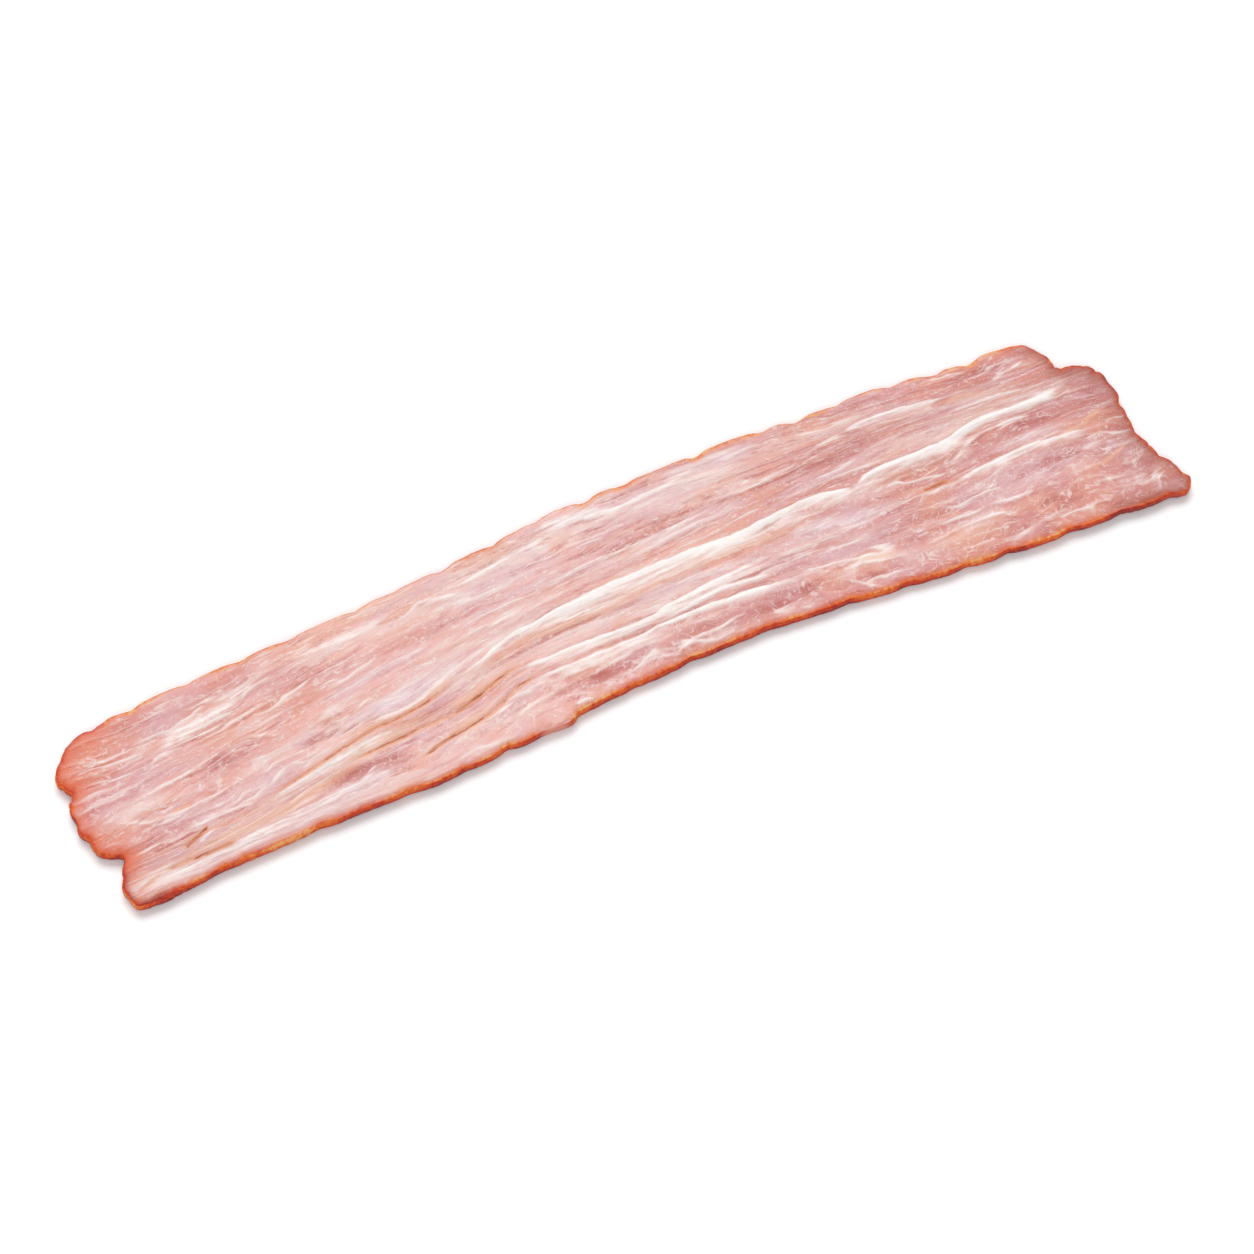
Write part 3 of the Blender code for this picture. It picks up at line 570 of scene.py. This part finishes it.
class Slice:
    """The vertices of the slice and what is known of each: its place, its part and how far the rim is."""

    def __init__(self):
        self.outline, self.normals = fine_outline()
        rim, inward = boundary_of_net(self.outline, self.normals)
        net = net_inside(rim + WALL[0][0] * inward)
        self.top = np.arange(net.shape[0] * net.shape[1]).reshape(net.shape[:2])
        places = [net.reshape(-1, 2)]
        share = [np.ones(self.top.size)]
        rings = [edge_loop(self.top)]
        made = self.top.size
        around = run_length(np.concatenate([rim, rim[:1]]))[:-1]
        for inset, height in WALL[1:]:
            lump = WALL_LUMPS * fibres(around, np.full(len(rim), 3.0 * height), 3.2, 1.0, 81)
            rings.append(made + np.arange(len(rim)))
            places.append(rim + (inset + (lump + 0.05) * min(1, 4 * (1 - height)))[:, None] * inward)
            share.append(np.full(len(rim), height))
            made += len(rim)
        under = net[np.ix_(UNDER_COLUMNS, UNDER_ROWS)]
        self.under = made + np.arange(under.shape[0] * under.shape[1]).reshape(under.shape[:2])
        places.append(under.reshape(-1, 2))
        share.append(np.full(self.under.size, -1.0))
        self.rings = rings
        box = np.array([cad_low[:2], cad_high[:2]]) / MM
        self.xy = np.clip(np.concatenate(places), box[0] + 0.01, box[1] - 0.01)
        self.share = np.concatenate(share)
        self.part = np.repeat([0, 1, 2], [self.top.size, len(rim) * (len(WALL) - 1), self.under.size])
        self.to_rim, self.around = self.nearest_rim()

    def nearest_rim(self):
        """How far each vertex is from the outline, in mm, and how far round the outline that is."""
        tree = KDTree(len(self.outline))
        for k, (x, y) in enumerate(self.outline):
            tree.insert((x, y, 0), k)
        tree.balance()
        found = [tree.find((x, y, 0))[1:] for x, y in self.xy.tolist()]
        index, distance = np.array(found).T
        return distance, index * OUTLINE_STEP

    def faces(self):
        quads = [quads_of(self.top), quads_of(self.under)[:, ::-1]]
        quads += [ring_quads(upper, lower) for upper, lower in zip(self.rings, self.rings[1:])]
        columns, rows = (n - 1 for n in self.under.shape)
        foot, inner = self.rings[-1], edge_loop(self.under)
        fill = zipped(foot, loop_shares(COLUMNS, ROWS), inner, loop_shares(columns, rows))
        return np.concatenate(quads).tolist() + fill


def grain_of(x, y):
    """How far across the grain each place is, in mm, counted from the front, following the fibre lines."""
    lines = []
    for points in FIBRE_LINES:
        curve = curve_through(points)
        lines.append(np.interp(x, curve[:, 0], curve[:, 1]))
    lines = np.sort(np.stack(lines), axis=0)
    labels = np.cumsum(FIBRE_SPACING)
    found = labels[0] + (y - lines[0])
    for k in range(len(lines) - 1):
        part = (y - lines[k]) / np.maximum(lines[k + 1] - lines[k], 0.5)
        found = np.where(y >= lines[k], labels[k] + part * (labels[k + 1] - labels[k]), found)
    return np.where(y > lines[-1], labels[-1] + (y - lines[-1]), found)


def mark_value(points, half_width, does, x, y):
    """How strongly a mark covers each place: 1 on its line, fading over its half-width.

    Both the strength and the half-width taper to the ends of the line.
    """
    line = curve_through(points, per_span=4)
    run = run_length(line)
    best = np.full(len(x), 1e9)
    side = np.zeros(len(x))
    share = np.zeros(len(x))
    for k in range(len(line) - 1):
        start, step = line[k], line[k + 1] - line[k]
        long = np.dot(step, step)
        part = np.clip(((x - start[0]) * step[0] + (y - start[1]) * step[1]) / long, 0, 1)
        off_x = x - start[0] - part * step[0]
        off_y = y - start[1] - part * step[1]
        distance = np.hypot(off_x, off_y)
        nearer = distance < best
        best = np.where(nearer, distance, best)
        side = np.where(nearer, np.sign(step[0] * off_y - step[1] * off_x) * np.sign(step[0] + 1e-9), side)
        share = np.where(nearer, (run[k] + part * (run[k + 1] - run[k])) / run[-1], share)
    skew = does.get("skew", 0)
    taper = smooth_step(share / does["taper"]) * smooth_step((1 - share) / does["taper"])
    width = half_width * (0.45 + 0.55 * taper) * np.where(side > 0, 1 - skew, 1 + skew)
    return (0.12 + 0.88 * taper) * np.exp(-((best / width) ** 2)) * np.where(best < 3 * width, 1, 0)


def painted(x, y, along, across):
    """The masks and the relief that the marks make together."""
    layers = {name: np.zeros(len(x)) for name in (*COVERING, "tone", "lift")}
    bend_y = 0.42 * fibres(along, across, 4.5, 1.5, 11)
    bend_x = 1.6 * fibres(along, across, 6.0, 1.2, 15)
    fray = fibres(along, across, 5.0, 0.5, 19) + 0.5 * fibres(x, y, 1.1, 0.7, 23)
    moved_x, moved_y = x + bend_x, y + bend_y
    for kind, half_width, strength, *points in MARKS:
        does = KINDS[kind]
        ends = np.array(points)
        margin = 3 * half_width + 2
        low, high = ends.min(0) - margin, ends.max(0) + margin
        near = (x > low[0]) & (x < high[0]) & (y > low[1]) & (y < high[1])
        place = (x[near], y[near]) if does.get("straight") else (moved_x[near], moved_y[near])
        value = strength * mark_value(points, max(half_width, THINNEST_MARK), does, *place)
        frayed = np.clip(value * (1 + does["fray"] * fray[near]), 0, 1)
        for name in COVERING:
            if name in does:
                added = np.clip(does[name] * frayed, 0, 1)
                layers[name][near] = 1 - (1 - layers[name][near]) * (1 - added)
        layers["tone"][near] += does.get("tone", 0) * frayed
        layers["lift"][near] += does.get("lift", 0) * value
    return layers


def lean_colour(x, y, along, across):
    """The lean's colour at each place, with its patches."""
    share = np.interp(x, *np.transpose(ROSINESS))[:, None]
    found = (1 - share) * linear(PALE_LEAN) + share * linear(ROSE_LEAN)
    moved_x = x + 3.5 * fibres(along, across, 9.0, 1.7, 91)
    moved_y = y + 1.1 * fibres(along, across, 8.0, 1.9, 95)
    for tint, strength, (at_x, at_y), (reach_x, reach_y) in PATCHES:
        distance = ((moved_x - at_x) / reach_x) ** 2 + ((moved_y - at_y) / reach_y) ** 2
        weight = strength * np.exp(-(distance**1.3))[:, None]
        found = (1 - weight) * found + weight * linear(TINTS[tint])
    return found / LIGHT_GAIN


def foot_height(x, y):
    wave = 0.5 + 0.25 * np.sin(0.09 * x + 0.4) + 0.25 * np.sin(0.031 * x - 0.13 * y + 2)
    return FOOT_LEAST + (FOOT_MOST - FOOT_LEAST) * wave


def rim_layers(piece, x, y):
    """How brown each place is, with painted light at the top of the wall and painted shade at its foot, how
    far crust covers it and how far it is reddened.
    """
    at_left, at_right = beyond(-x, 86, 10), beyond(x, 80, 12)
    at_end = np.maximum(at_left, at_right)
    at_back = beyond(y, -2, 8) * (1 - at_end)
    at_front = beyond(-y, 9, 6) * (1 - at_end)
    at_corner = at_left * beyond(-y, 12, 4)
    flap = at_front * np.exp(-(((x - FLAP_MIDDLE) / FLAP_REACH) ** 4))
    uneven = from_zero(fibres(piece.around, 0 * x, 5.0, 1.0, 61))
    ragged = fibres(x, y, 1.5, 1.5, 67)
    lumps = beyond(uneven, 0.36, 0.24)
    on_wall = piece.part == 1

    width = 0.34 + 0.3 * at_left + 0.25 * at_right + 0.45 * at_front + (0.5 + 0.3 * at_back) * uneven**2
    width += 0.35 * at_corner + 0.2 * at_back * lumps
    depth = np.maximum(piece.to_rim + 0.4 * ragged, 0)
    cover = np.exp(-((depth / width) ** 1.15)) * (0.94 - 0.5 * at_back * (1 - lumps) - 0.15 * at_right)
    cover = np.where(on_wall, 1.0 - 0.35 * at_right, cover) * (1 - 0.75 * flap)

    shade = 0.34 + 0.25 * at_end + 0.5 * (uneven - 0.5) - 0.22 * at_back + 0.25 * ragged
    shade += 0.2 * at_corner + 0.3 * at_back * np.exp(-((piece.to_rim / 0.3) ** 2))
    # The wall's brown is lighter at its top, as painted light, and darker at its foot, as painted shade
    wall_brown_and_painted_light = 0.66 + 0.45 * fibres(piece.around, 0 * x, 7.0, 1.0, 65)
    wall_brown_and_painted_light += 0.4 * (0.5 - piece.share) + 0.1 * ragged
    wall_brown_and_painted_light += 0.08 * beyond(x, -50, 20) - 0.22 * at_back
    brown = np.clip(np.where(on_wall, wall_brown_and_painted_light, shade), 0.05, 1)

    blotchy = np.maximum(depth + 1.0 * fibres(x, y, 3.6, 3.0, 83), 0)
    left_blush = np.exp(-((blotchy / (1.8 + 2.2 * uneven)) ** 1.9))
    right_blush = np.exp(-((blotchy / (1.7 + 1.2 * uneven)) ** 1.5))
    blush = np.maximum((0.92 * at_left - 0.35 * at_corner) * left_blush, 0.92 * at_right * right_blush)
    blush = np.maximum(blush, (0.4 - 0.3 * at_back) * np.exp(-piece.to_rim / 1.3))
    blush = np.where(on_wall, 1.0, blush) * (1 - 0.6 * flap)
    return brown, cover, blush


def worked_out(piece):
    """The height of each vertex in mm, and the layers that the material reads."""
    x, y = (piece.xy - MARKS_ORIGIN).T
    across = grain_of(x, y)
    across = across + 0.5 * fibres(x, across, 16.0, 5.0, 31) + 0.4 * fibres(x, across, 5.0, 1.9, 35)
    layers = painted(x, y, x, across)
    coarse = fibres(x, across, 20.0, 1.9, 41)
    mid = fibres(x, across, 15.0, 0.9, 45, octaves=2)
    mottle = fibres(x, y, 2.8, 1.5, 49, octaves=2)
    cellular = np.maximum(beyond(x, 30, 30), beyond(-x, 80, 12))
    layers["tone"] += 0.7 * coarse + 0.7 * mid + (0.15 + 0.27 * cellular) * mottle
    threads = beyond(fibres(x, across, 14.0, 0.8, 53, octaves=2), 0.22, 0.42)
    layers["fat"] = 1 - (1 - layers["fat"]) * (1 - 0.4 * threads)
    layers["fat"] *= 1 - 0.8 * smooth_step((1.1 - piece.to_rim) / 1.1)
    layers["brown"], layers["cover"], layers["blush"] = rim_layers(piece, x, y)
    layers["along"], layers["across"] = x, across
    layers["lean"] = lean_colour(x, y, x, across)

    relief = 0.05 * mid + 0.07 * coarse + 0.04 * mottle + 0.04 * threads + layers["lift"]
    near = smooth_step(1 - piece.to_rim / RIM_REACH)
    foot = foot_height(x, y)
    top = LEAN_HEIGHT + relief * (1 - 0.5 * near) + near * (0.4 * foot - RIM_DROP)
    ceiling = cad_high.z / MM - 0.01
    top = np.minimum(top, ceiling - 0.04 * np.exp(-(ceiling - top)))
    height = np.where(piece.share < 0, 0.0, foot + np.clip(piece.share, 0, 1) * (top - foot))
    return height, layers


def mesh_of(piece):
    height, layers = worked_out(piece)
    mesh = bpy.data.meshes.new("rasher_flesh")
    places = np.concatenate([piece.xy, height[:, None]], 1) * MM
    mesh.from_pydata(places.tolist(), [], piece.faces())
    store(mesh, "lean", layers["lean"])
    store(mesh, "layers", np.stack([layers["tone"], layers["fat"], layers["tan"]], 1))
    store(mesh, "edges", np.stack([layers["brown"], layers["blush"], layers["cool"]], 1))
    store(mesh, "grain", np.stack([layers["along"], layers["across"], height], 1))
    store(mesh, "warmth", np.stack([layers["warm"], layers["score"], layers["cover"]], 1))
    mesh.shade_smooth()
    return mesh


def store(mesh, name, values):
    attribute = mesh.attributes.new(name, "FLOAT_VECTOR", "POINT")
    attribute.data.foreach_set("vector", np.ascontiguousarray(values, np.float32).ravel())


# --- the material -------------------------------------------------------------------------------


class Nodes:
    """Makes shader nodes and links them, so that a material reads as a list of steps."""

    def __init__(self, material):
        material.use_nodes = True
        self.tree = material.node_tree
        self.tree.nodes.clear()

    def add(self, kind, inputs=(), **settings):
        node = self.tree.nodes.new(kind)
        for name, value in settings.items():
            setattr(node, name, value)
        for key, value in dict(inputs).items():
            if isinstance(value, bpy.types.NodeSocket):
                self.tree.links.new(value, node.inputs[key])
            else:
                node.inputs[key].default_value = value
        return node

    def attribute(self, name):
        return self.add("ShaderNodeAttribute", attribute_name=name).outputs["Vector"]

    def split(self, vector):
        return self.add("ShaderNodeSeparateXYZ", {0: vector}).outputs

    def math(self, operation, a, b=0.0, c=0.0):
        return self.add("ShaderNodeMath", {0: a, 1: b, 2: c}, operation=operation).outputs[0]

    def scaled(self, share, value):
        return self.math("MULTIPLY", value, share)

    def varied(self, value, noise, strength):
        """The value, made to go up and down by half the strength by a noise from 0 to 1."""
        return self.math("MULTIPLY_ADD", self.math("SUBTRACT", noise, 0.5), strength, value)

    def mixed(self, share, a, b):
        """The colours a and b mixed, by the share of b."""
        return self.add("ShaderNodeMix", {0: share, 6: a, 7: b}, data_type="RGBA").outputs[2]

    def ranged(self, value, low, high, to_low=0.0, to_high=1.0):
        inputs = {"Value": value, "From Min": low, "From Max": high, "To Min": to_low, "To Max": to_high}
        return self.add("ShaderNodeMapRange", inputs, interpolation_type="SMOOTHSTEP").outputs[0]

    def noise(self, vector, scale, stretch, detail=3.0, roughness=0.55, distortion=0.0):
        """Noise whose spots are 1 / scale mm, divided by stretch = (x, y, z)."""
        placed = self.add("ShaderNodeMapping", {"Vector": vector, "Scale": stretch}).outputs[0]
        inputs = {"Vector": placed, "Scale": scale, "Detail": detail, "Roughness": roughness}
        inputs["Distortion"] = distortion
        return self.add("ShaderNodeTexNoise", inputs).outputs[0]

    def folds(self, grain, pitch, wander, stretch):
        """Folds of the meat along the grain: each rises slowly to its back edge, where it ends sharply."""
        drift = self.noise(grain, 1.0, stretch, detail=2.0)
        across = self.math("DIVIDE", self.split(grain)[1], pitch)
        part = self.math("FRACT", self.math("MULTIPLY_ADD", drift, wander, across))
        rise = self.math("MULTIPLY", self.math("POWER", part, 2.2), self.ranged(part, 1.0, 0.9))
        here = self.noise(grain, 1.7, stretch, detail=2.0)
        return self.math("MULTIPLY", rise, self.ranged(here, 0.4, 0.62))

    def crest_highlight(self, fold, strength):
        """A painted highlight: the bright line along the edge of a fold, where it would catch the key
        light.
        """
        return self.math("MULTIPLY", self.ranged(fold, 0.5, 0.78), strength)

    def thread(self, vector, stretch, width, distortion):
        """Thin wandering lines, broken up: 1 on a line and 0 off it."""
        wander = self.noise(vector, 1.0, stretch, detail=1.5, distortion=distortion)
        line = self.ranged(self.math("ABSOLUTE", self.math("SUBTRACT", wander, 0.5)), width, 0.0)
        gaps = self.noise(vector, 1.3, stretch, detail=2.0)
        return self.math("MULTIPLY", line, self.ranged(gaps, 0.44, 0.6))


def colour(r, g, b):
    return (*(linear((r, g, b)) / LIGHT_GAIN), 1.0)


def lean_flesh(n, grain, noises, tone, warm):
    """The lean, with its pale and dark fibres, painted light and shade across its folds, and the white
    threads and painted crest highlights on it.
    """
    hue = n.noise(grain, 1.0, (0.06, 0.26, 1.0), detail=2.0, distortion=0.6)
    lightness = n.varied(tone, noises["fibre"], 1.6)
    # The folds make the lean paler towards each fold's back edge, which faces the key light, and darker
    # below it: painted light and shade across the folds
    for name, strength in (("broad", 1.5), ("narrow", 0.9)):
        lightness = n.math("MULTIPLY_ADD", noises[name], strength, lightness)
    lightness = n.math("SUBTRACT", lightness, 0.3)
    for name, strength in (("hair", 1.1), ("speck", 0.5), ("cell", 1.8)):
        lightness = n.varied(lightness, noises[name], strength)
    flesh = n.mixed(n.scaled(0.5, n.ranged(hue, 0.48, 0.66)), n.attribute("lean"), colour(242, 164, 132))
    flesh = n.mixed(n.scaled(0.42, n.ranged(hue, 0.5, 0.34)), flesh, colour(230, 182, 193))
    flesh = n.mixed(n.scaled(0.75, n.ranged(lightness, 0.0, 1.5)), flesh, colour(251, 222, 214))
    flesh = n.mixed(n.scaled(0.85, n.ranged(lightness, 0.0, -1.5)), flesh, colour(196, 96, 86))
    flesh = n.mixed(n.scaled(0.5, warm), flesh, colour(232, 146, 122))
    # White threads, and the painted highlights along the fold crests, laid on in near-white
    return n.mixed(noises["strands_and_crest_highlights"], flesh, colour(255, 238, 234))


def with_fat(n, flesh, fibre, fat, tan, cool):
    uneven_fat = n.varied(fat, fibre, 0.9)
    fatty = n.math("MULTIPLY", n.ranged(uneven_fat, 0.1, 0.95), n.ranged(fat, 0.0, 0.12))
    flesh = n.mixed(n.scaled(0.6, cool), flesh, colour(238, 212, 220))
    flesh = n.mixed(n.scaled(0.75, tan), flesh, colour(250, 190, 154))
    return n.mixed(fatty, flesh, (*FAT_COLOUR, 1.0))


def with_creases(n, flesh, fibre, score):
    """The tan sides of each crease and the brown line along it, which is fainter here and there. The line
    is partly the crease's own brown and partly painted shade in its groove.
    """
    flesh = n.mixed(n.scaled(0.65, n.ranged(score, 0.04, 0.6)), flesh, colour(248, 166, 112))
    broken = n.math("MULTIPLY", n.ranged(score, 0.6, 0.95), n.ranged(fibre, 0.42, 0.56, 0.25, 0.9))
    return n.mixed(broken, flesh, colour(186, 84, 46))


def with_rim(n, flesh, along, speck, brown, blush, cover):
    """The reddened rim, duller at the right end, and the crust over it, lighter at the top of the wall and
    darker at its foot as painted light and shade.
    """
    rim_colour = n.mixed(n.ranged(along, 60.0, 92.0), colour(238, 110, 64), colour(174, 74, 50))
    flesh = n.mixed(blush, flesh, rim_colour)
    crust = n.add("ShaderNodeValToRGB", {0: n.varied(brown, speck, 0.9)})
    crust.color_ramp.interpolation = "EASE"
    for k, (place, shade) in enumerate(CRUST):
        stop = crust.color_ramp.elements[k] if k < 2 else crust.color_ramp.elements.new(place)
        stop.position, stop.color = place, colour(*shade)
    return n.mixed(n.ranged(cover, 0.08, 0.8), flesh, crust.outputs[0])


def flesh_noises(n, grain):
    """The fine patterns that both the colour and the bump follow."""
    found = {
        "fibre": n.noise(grain, 1.0, (0.13, 2.2, 1.0), detail=4.0, distortion=0.5),
        "hair": n.noise(grain, 1.0, (0.35, 4.5, 1.0), detail=3.0, distortion=0.3),
        "speck": n.noise(grain, 1.0, (1.3, 2.0, 1.0), detail=3.0),
        "cell": n.noise(grain, 1.0, (0.28, 0.75, 1.0), detail=3.0, roughness=0.6, distortion=1.2),
        "broad": n.folds(grain, 2.3, 2.4, (0.05, 0.22, 1.0)),
        "narrow": n.folds(grain, 1.0, 3.2, (0.07, 0.4, 2.0)),
    }
    curl = n.thread(grain, (0.3, 0.9, 1.0), 0.05, 1.6)
    wisp = n.thread(grain, (0.62, 1.7, 3.0), 0.045, 1.2)
    # The bright lines along the fold crests are painted highlights
    crest_highlights = n.math("MAXIMUM", n.crest_highlight(found["broad"], 0.85), n.crest_highlight(found["narrow"], 0.6))
    strands_and_crest_highlights = n.math("MAXIMUM", n.scaled(0.65, curl), n.scaled(0.5, wisp))
    found["strands_and_crest_highlights"] = n.math("MAXIMUM", strands_and_crest_highlights, crest_highlights)
    return found


def fine_bump(n, noises):
    height = n.math("ADD", n.scaled(0.8, noises["fibre"]), n.scaled(0.6, noises["hair"]))
    for name, strength in (("speck", 0.5), ("strands_and_crest_highlights", 0.4), ("broad", 0.4), ("narrow", 0.25)):
        height = n.math("MULTIPLY_ADD", noises[name], strength, height)
    return n.add("ShaderNodeBump", {"Height": height, "Strength": 0.6, "Distance": 0.14 * MM}).outputs[0]


def flesh_material():
    material = bpy.data.materials.new("cured_turkey")
    n = Nodes(material)
    tone, fat, tan = n.split(n.attribute("layers"))
    brown, blush, cool = n.split(n.attribute("edges"))
    warm, score, cover = n.split(n.attribute("warmth"))
    grain = n.attribute("grain")
    noises = flesh_noises(n, grain)
    fibre, speck = noises["fibre"], noises["speck"]

    flesh = lean_flesh(n, grain, noises, tone, warm)
    flesh = with_fat(n, flesh, fibre, fat, tan, cool)
    flesh = with_creases(n, flesh, fibre, score)
    flesh = with_rim(n, flesh, n.split(grain)[0], speck, brown, blush, cover)
    gloss = n.math("MULTIPLY_ADD", speck, 0.22, 0.26)
    gloss = n.math("MULTIPLY_ADD", cover, 0.2, gloss)
    shader = n.add(
        "ShaderNodeBsdfPrincipled",
        {
            "Base Color": flesh,
            "Roughness": gloss,
            "Normal": fine_bump(n, noises),
            "Specular IOR Level": 0.32,
            "Coat Weight": 0.12,
            "Coat Roughness": 0.16,
        },
    )
    n.add("ShaderNodeOutputMaterial", {"Surface": shader.outputs[0]})
    return material


def floor_material():
    material = bpy.data.materials.new("studio_floor")
    n = Nodes(material)
    shader = n.add("ShaderNodeBsdfPrincipled", {"Base Color": (0.95, 0.95, 0.955, 1), "Roughness": 0.9})
    n.add("ShaderNodeOutputMaterial", {"Surface": shader.outputs[0]})
    return material


# --- the pieces ---------------------------------------------------------------------------------


def lay_out_map(mesh, piece):
    """The map OFBake: the top above, the underside below it and the wall between them, none overlapping."""
    layer = mesh.uv_layers.new(name="OFBake")
    low, high = piece.xy.min(0), piece.xy.max(0)
    flat = (piece.xy - low) / (high - low)
    u, v = 0.004 + 0.992 * flat[:, 0], flat[:, 1]
    around = np.zeros(len(u))
    for ring in piece.rings:
        around[ring] = np.arange(len(ring)) / len(ring)
    corner = np.empty(len(mesh.loops), np.int32)
    mesh.loops.foreach_get("vertex_index", corner)
    starts = [face.loop_start for face in mesh.polygons]
    of_face = np.repeat(np.arange(len(starts)), np.diff(starts + [len(corner)]))
    parts = piece.part[corner]
    lowest = np.minimum.reduceat(parts, starts)
    highest = np.maximum.reduceat(parts, starts)
    wall = ((highest == 1) | (lowest < highest))[of_face] & (highest < 2)[of_face]
    under = (highest == 2)[of_face]
    found = np.stack([u[corner], TOP_BAND[0] + TOP_BAND[1] * v[corner]], 1)
    found[under] = np.stack([u[corner], UNDER_BAND[0] + UNDER_BAND[1] * v[corner]], 1)[under]
    turn = around[corner]
    first = np.minimum.reduceat(turn, starts)[of_face]
    last = np.maximum.reduceat(turn, starts)[of_face]
    turn = np.where((last - first > 0.5) & (turn < 0.5), turn + 1, turn)
    down = np.where(parts == 0, 1.0, piece.share[corner].clip(0, 1))
    found[wall] = np.stack([0.002 + 0.995 * turn, WALL_BAND[0] + WALL_BAND[1] * down], 1)[wall]
    layer.data.foreach_set("uv", found.astype(np.float32).ravel())


def make_rasher():
    piece = Slice()
    mesh = mesh_of(piece)
    lay_out_map(mesh, piece)
    rasher = bpy.data.objects.new("rasher_flesh", mesh)
    bpy.context.scene.collection.objects.link(rasher)
    mesh.materials.append(flesh_material())
    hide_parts(NODE)
    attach(rasher, "root")


def make_floor():
    bpy.ops.mesh.primitive_plane_add(size=6)
    floor = bpy.context.object
    floor.name = "studio_floor"
    floor.data.materials.append(floor_material())


def add_light(name, place, size, power):
    """A soft lamp that shines on the slice."""
    light = bpy.data.lights.new(name, "AREA")
    light.shape = "RECTANGLE"
    light.size, light.size_y = size
    light.energy = power
    lamp = bpy.data.objects.new(name, light)
    lamp.location = place
    lamp.rotation_euler = (-Vector(place)).to_track_quat("-Z", "Y").to_euler()
    bpy.context.scene.collection.objects.link(lamp)


def light_studio():
    world = bpy.data.worlds.new("studio")
    bpy.context.scene.world = world
    world.use_nodes = True
    sky = world.node_tree.nodes["Background"].inputs
    sky["Color"].default_value = (1.0, 1.0, 1.0, 1.0)
    sky["Strength"].default_value = 0.47
    add_light("key", place=(1.05, 3.6, 4.2), size=(5.0, 3.6), power=260)
    add_light("fill", place=(-2.6, -4.2, 3.4), size=(4.2, 3.2), power=142)
    bpy.context.scene.view_settings.view_transform = "Standard"


def place_camera():
    """The camera looks down at the middle of the slice, from the front and turned a little to the left."""
    elevation, turn = np.radians((CAMERA_ELEVATION, CAMERA_TURN))
    level = np.cos(elevation)
    back = Vector((np.sin(turn) * level, -np.cos(turn) * level, np.sin(elevation)))
    camera = bpy.data.objects.new("camera", bpy.data.cameras.new("camera"))
    camera.data.lens = CAMERA_LENS
    camera.data.sensor_width = CAMERA_SENSOR
    camera.data.clip_start = 0.01
    camera.location = Vector(CAMERA_TARGET) + CAMERA_DISTANCE * back
    camera.rotation_euler = (-back).to_track_quat("-Z", "Y").to_euler()
    bpy.context.scene.collection.objects.link(camera)
    bpy.context.scene.camera = camera


make_rasher()
make_floor()
light_studio()
place_camera()
